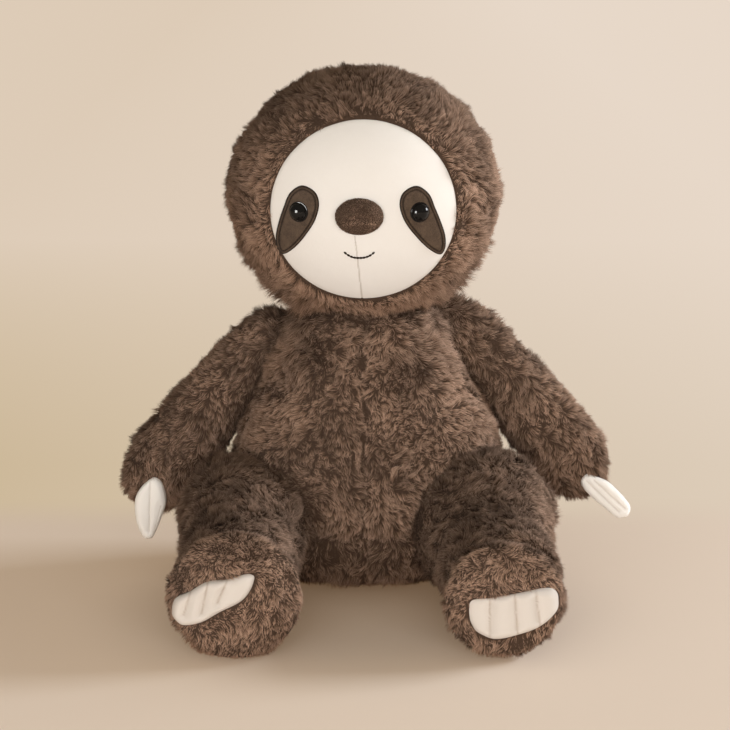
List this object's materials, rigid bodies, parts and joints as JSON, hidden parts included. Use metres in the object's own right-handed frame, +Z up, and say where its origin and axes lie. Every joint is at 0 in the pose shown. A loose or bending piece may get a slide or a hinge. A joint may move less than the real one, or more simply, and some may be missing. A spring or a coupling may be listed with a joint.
{
  "type": "plush sloth",
  "caption": "Seated stuffed sloth in brown fur fabric with a cream face, suede eye patches, plush nose and cream claws; head turns, arms lift, legs spread.",
  "frame": {"origin": "centre of the flat seat, on the surface that the toy sits on", "axes": "+Z up; the face looks along -Y; +X is the toy's own left"},
  "size_m": [0.3304, 0.2859, 0.329],
  "materials": {
    "fur": "matte",
    "cream_cloth": "matte",
    "suede": "matte",
    "nose_plush": "matte",
    "stuffing": "matte",
    "bean_pouch": "matte",
    "eye_plastic": "gloss",
    "washer_plastic": "matte",
    "thread": "satin"
  },
  "bodies": {
    "torso": {"torso_front_left": "fur", "torso_front_right": "fur", "torso_back": "fur", "seat_panel": "fur", "torso_stuffing": "stuffing", "bean_pouch": "bean_pouch"},
    "head": {"hood_front": "fur", "head_back": "fur", "face_panel": "cream_cloth", "head_stuffing": "stuffing", "nose": "nose_plush", "mouth_stitch": "thread", "eye_patch_left": "suede", "eye_left": "eye_plastic", "eye_washer_left": "washer_plastic", "eye_patch_right": "suede", "eye_right": "eye_plastic", "eye_washer_right": "washer_plastic"},
    "left_arm": {"left_arm_front": "fur", "left_arm_back": "fur", "left_arm_stuffing": "stuffing", "left_hand_claws": "cream_cloth"},
    "left_leg": {"left_leg_upper": "fur", "left_leg_under": "fur", "left_leg_stuffing": "stuffing", "left_toe_claws": "cream_cloth"},
    "right_arm": {"right_arm_front": "fur", "right_arm_back": "fur", "right_arm_stuffing": "stuffing", "right_hand_claws": "cream_cloth"},
    "right_leg": {"right_leg_upper": "fur", "right_leg_under": "fur", "right_leg_stuffing": "stuffing", "right_toe_claws": "cream_cloth"}
  },
  "joints": [
    {"name": "head_turn", "type": "hinge", "parent": "torso", "child": "head", "pos_m": [0, -0.006, 0.172], "axis": [0, 0, 1], "range_deg": [-45, 45], "stiffness_Nm_per_rad": 0.15},
    {"name": "left_shoulder_lift", "type": "hinge", "parent": "torso", "child": "left_arm", "pos_m": [0.05, 0.016, 0.18], "axis": [0, -1, 0], "range_deg": [0, 60]},
    {"name": "right_shoulder_lift", "type": "hinge", "parent": "torso", "child": "right_arm", "pos_m": [-0.05, 0.016, 0.174], "axis": [0, 1, 0], "range_deg": [0, 60]},
    {"name": "left_hip_spread", "type": "hinge", "parent": "torso", "child": "left_leg", "pos_m": [0.1, -0.012, 0.04], "axis": [0, 0, 1], "range_deg": [0, 30]},
    {"name": "right_hip_spread", "type": "hinge", "parent": "torso", "child": "right_leg", "pos_m": [-0.1, -0.012, 0.04], "axis": [0, 0, -1], "range_deg": [0, 30]}
  ]
}
